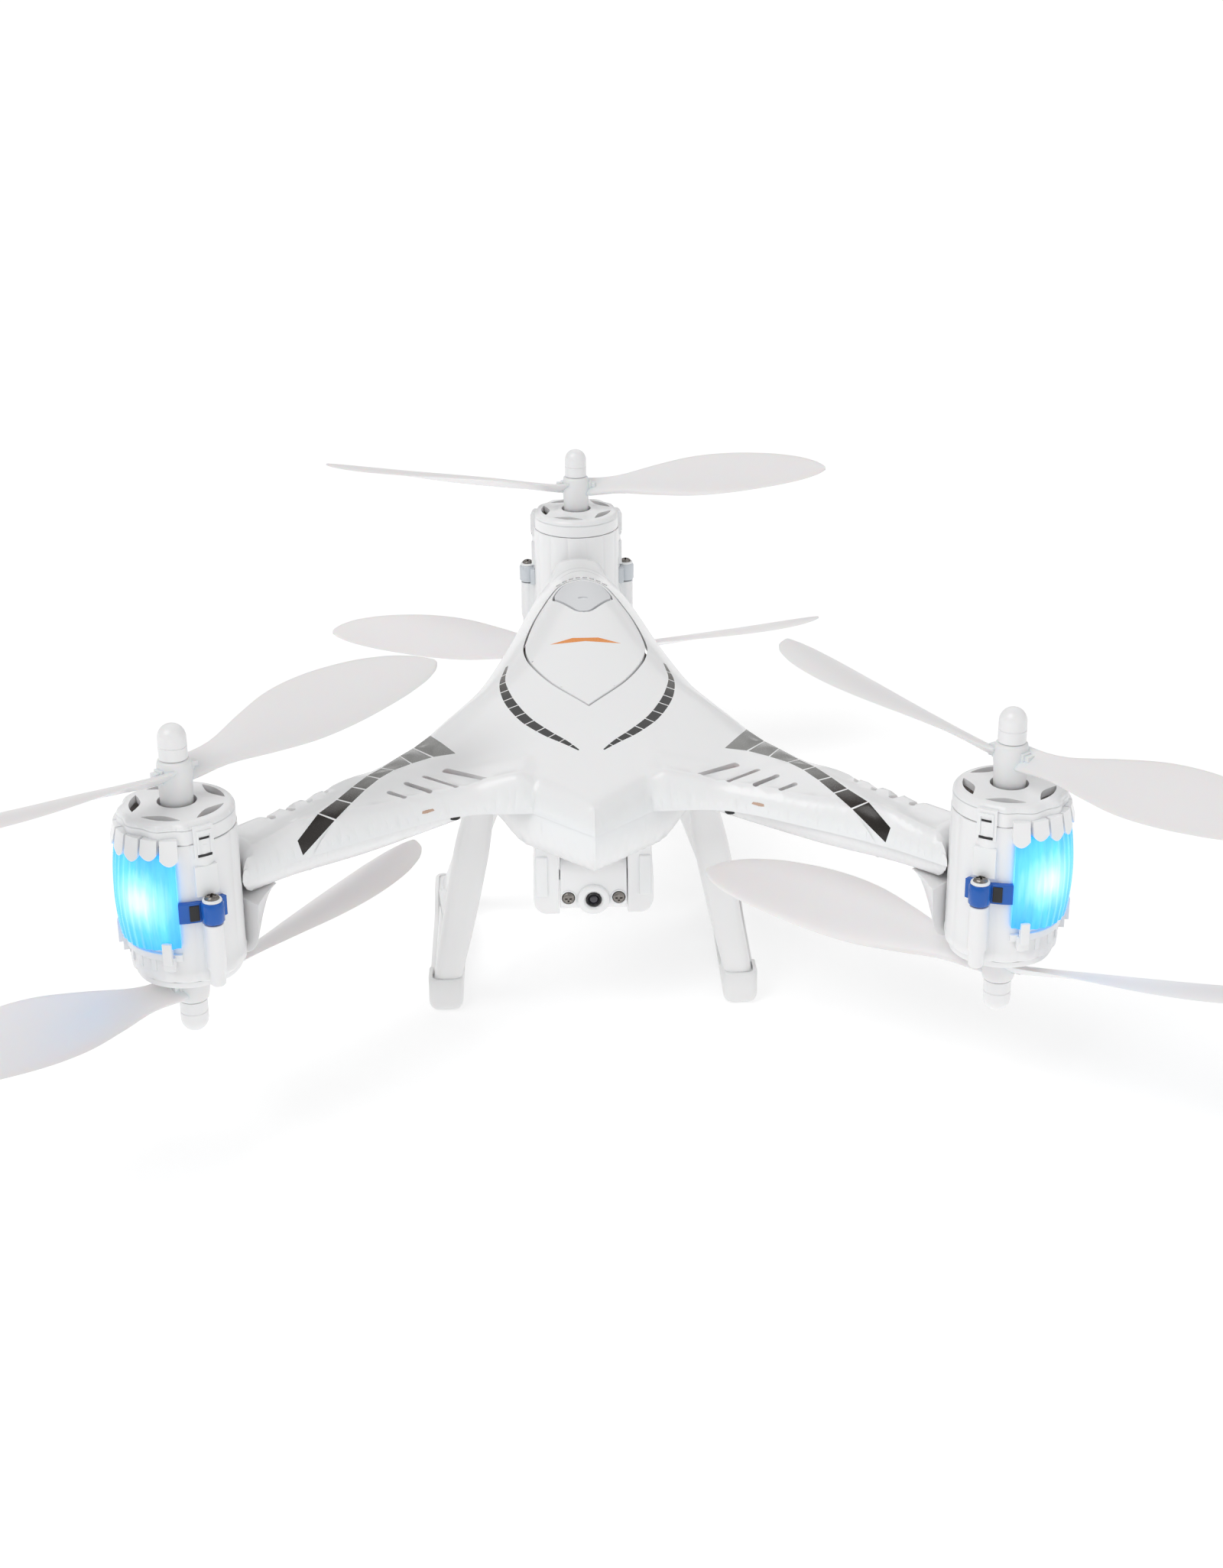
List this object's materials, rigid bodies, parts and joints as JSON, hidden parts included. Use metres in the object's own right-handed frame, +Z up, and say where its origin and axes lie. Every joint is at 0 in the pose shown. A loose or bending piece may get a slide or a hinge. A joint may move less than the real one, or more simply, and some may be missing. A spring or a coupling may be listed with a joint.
{
  "type": "six-rotor tricopter drone",
  "caption": "White three-arm camera drone with stacked contra-rotating propellers on each arm, lamp pods, lift-up hatch, tilting camera and landing skids.",
  "frame": {"origin": "centre of the flat belly face under the lower shell, 60 mm above the ground that the foot pads stand on", "axes": "+Z up along the rotor axes, nose and camera towards -Y, single rear arm towards +Y, +X to the drone's left when seen from behind its tail; the right-hand arm in the nose-on view is at +X"},
  "size_m": [0.3637, 0.3418, 0.12],
  "materials": {
    "shell": "gloss white ABS",
    "pod": "gloss white ABS",
    "skid": "satin white ABS",
    "blade": "satin white nylon",
    "latch": "satin light grey",
    "lamp_blue": "clear blue, glossy",
    "lamp_clear": "milky clear, glossy",
    "camera_glass": "coated dark glass",
    "steel": "zinc-plated screws and shafts",
    "motor": "drawn steel can",
    "battery": "shrink wrap",
    "board": "solder mask",
    "wire": "PVC insulation",
    "switch": "black slider"
  },
  "bodies": {
    "root": {"upper_shell": "shell", "lower_shell": "shell", "battery": "battery", "flight_board": "board", "wire_loom": "wire", "camera_bracket": "shell", "skid_left": "skid", "skid_right": "skid", "foot_pad_left": "skid", "foot_pad_right": "skid", "pod_housing_right": "pod", "pod_top_cover_right": "pod", "pod_bottom_cover_right": "pod", "lamp_lens_right": "lamp_blue", "lug_screw_right_a": "steel", "lug_screw_right_b": "steel", "motor_upper_right": "motor", "motor_lower_right": "motor", "pod_housing_left": "pod", "pod_top_cover_left": "pod", "pod_bottom_cover_left": "pod", "lamp_lens_left": "lamp_blue", "lug_screw_left_a": "steel", "lug_screw_left_b": "steel", "motor_upper_left": "motor", "motor_lower_left": "motor", "pod_housing_rear": "pod", "pod_top_cover_rear": "pod", "pod_bottom_cover_rear": "pod", "lamp_lens_rear": "lamp_clear", "lug_screw_rear_a": "steel", "lug_screw_rear_b": "steel", "motor_upper_rear": "motor", "motor_lower_rear": "motor"},
    "hatch_lid": {"hatch": "shell"},
    "latch_button": {"hatch_latch": "latch"},
    "switch_slider": {"power_switch": "switch"},
    "camera_head": {"camera_block": "shell", "camera_lens": "camera_glass", "camera_screw_left": "steel", "camera_screw_right": "steel"},
    "rotor_upper_right": {"propeller_upper_right": "blade", "prop_cap_upper_right": "blade", "shaft_upper_right": "steel"},
    "rotor_lower_right": {"propeller_lower_right": "blade", "prop_cap_lower_right": "blade", "shaft_lower_right": "steel"},
    "rotor_upper_left": {"propeller_upper_left": "blade", "prop_cap_upper_left": "blade", "shaft_upper_left": "steel"},
    "rotor_lower_left": {"propeller_lower_left": "blade", "prop_cap_lower_left": "blade", "shaft_lower_left": "steel"},
    "rotor_upper_rear": {"propeller_upper_rear": "blade", "prop_cap_upper_rear": "blade", "shaft_upper_rear": "steel"},
    "rotor_lower_rear": {"propeller_lower_rear": "blade", "prop_cap_lower_rear": "blade", "shaft_lower_rear": "steel"}
  },
  "joints": [
    {"name": "spin_upper_right", "type": "hinge", "parent": "root", "child": "rotor_upper_right", "pos_m": [0.10952, -0.10249, 0.0462], "axis": [0, 0, 1], "continuous": true},
    {"name": "spin_lower_right", "type": "hinge", "parent": "root", "child": "rotor_lower_right", "pos_m": [0.10952, -0.10249, -0.0155], "axis": [0, 0, -1], "continuous": true},
    {"name": "spin_upper_left", "type": "hinge", "parent": "root", "child": "rotor_upper_left", "pos_m": [-0.10952, -0.10249, 0.0462], "axis": [0, 0, 1], "continuous": true},
    {"name": "spin_lower_left", "type": "hinge", "parent": "root", "child": "rotor_lower_left", "pos_m": [-0.10952, -0.10249, -0.0155], "axis": [0, 0, -1], "continuous": true},
    {"name": "spin_upper_rear", "type": "hinge", "parent": "root", "child": "rotor_upper_rear", "pos_m": [0, 0.15, 0.0462], "axis": [0, 0, 1], "continuous": true},
    {"name": "spin_lower_rear", "type": "hinge", "parent": "root", "child": "rotor_lower_rear", "pos_m": [0, 0.15, -0.0155], "axis": [0, 0, -1], "continuous": true},
    {"name": "hatch_hinge", "type": "hinge", "parent": "root", "child": "hatch_lid", "pos_m": [0, -0.0185, 0.03052], "axis": [1, 0, 0], "range_deg": [0, 60]},
    {"name": "latch_press", "type": "slide", "parent": "hatch_lid", "child": "latch_button", "axis": [0, 0, -1], "range_m": [0, 0.001], "stiffness_N_per_m": 300, "springref_m": -0.0004},
    {"name": "switch_slide", "type": "slide", "parent": "root", "child": "switch_slider", "axis": [1, 0, 0], "range_m": [0, 0.003]},
    {"name": "camera_tilt", "type": "hinge", "parent": "root", "child": "camera_head", "pos_m": [0, -0.0445, -0.0132], "axis": [1, 0, 0], "range_deg": [-15, 60]}
  ]
}
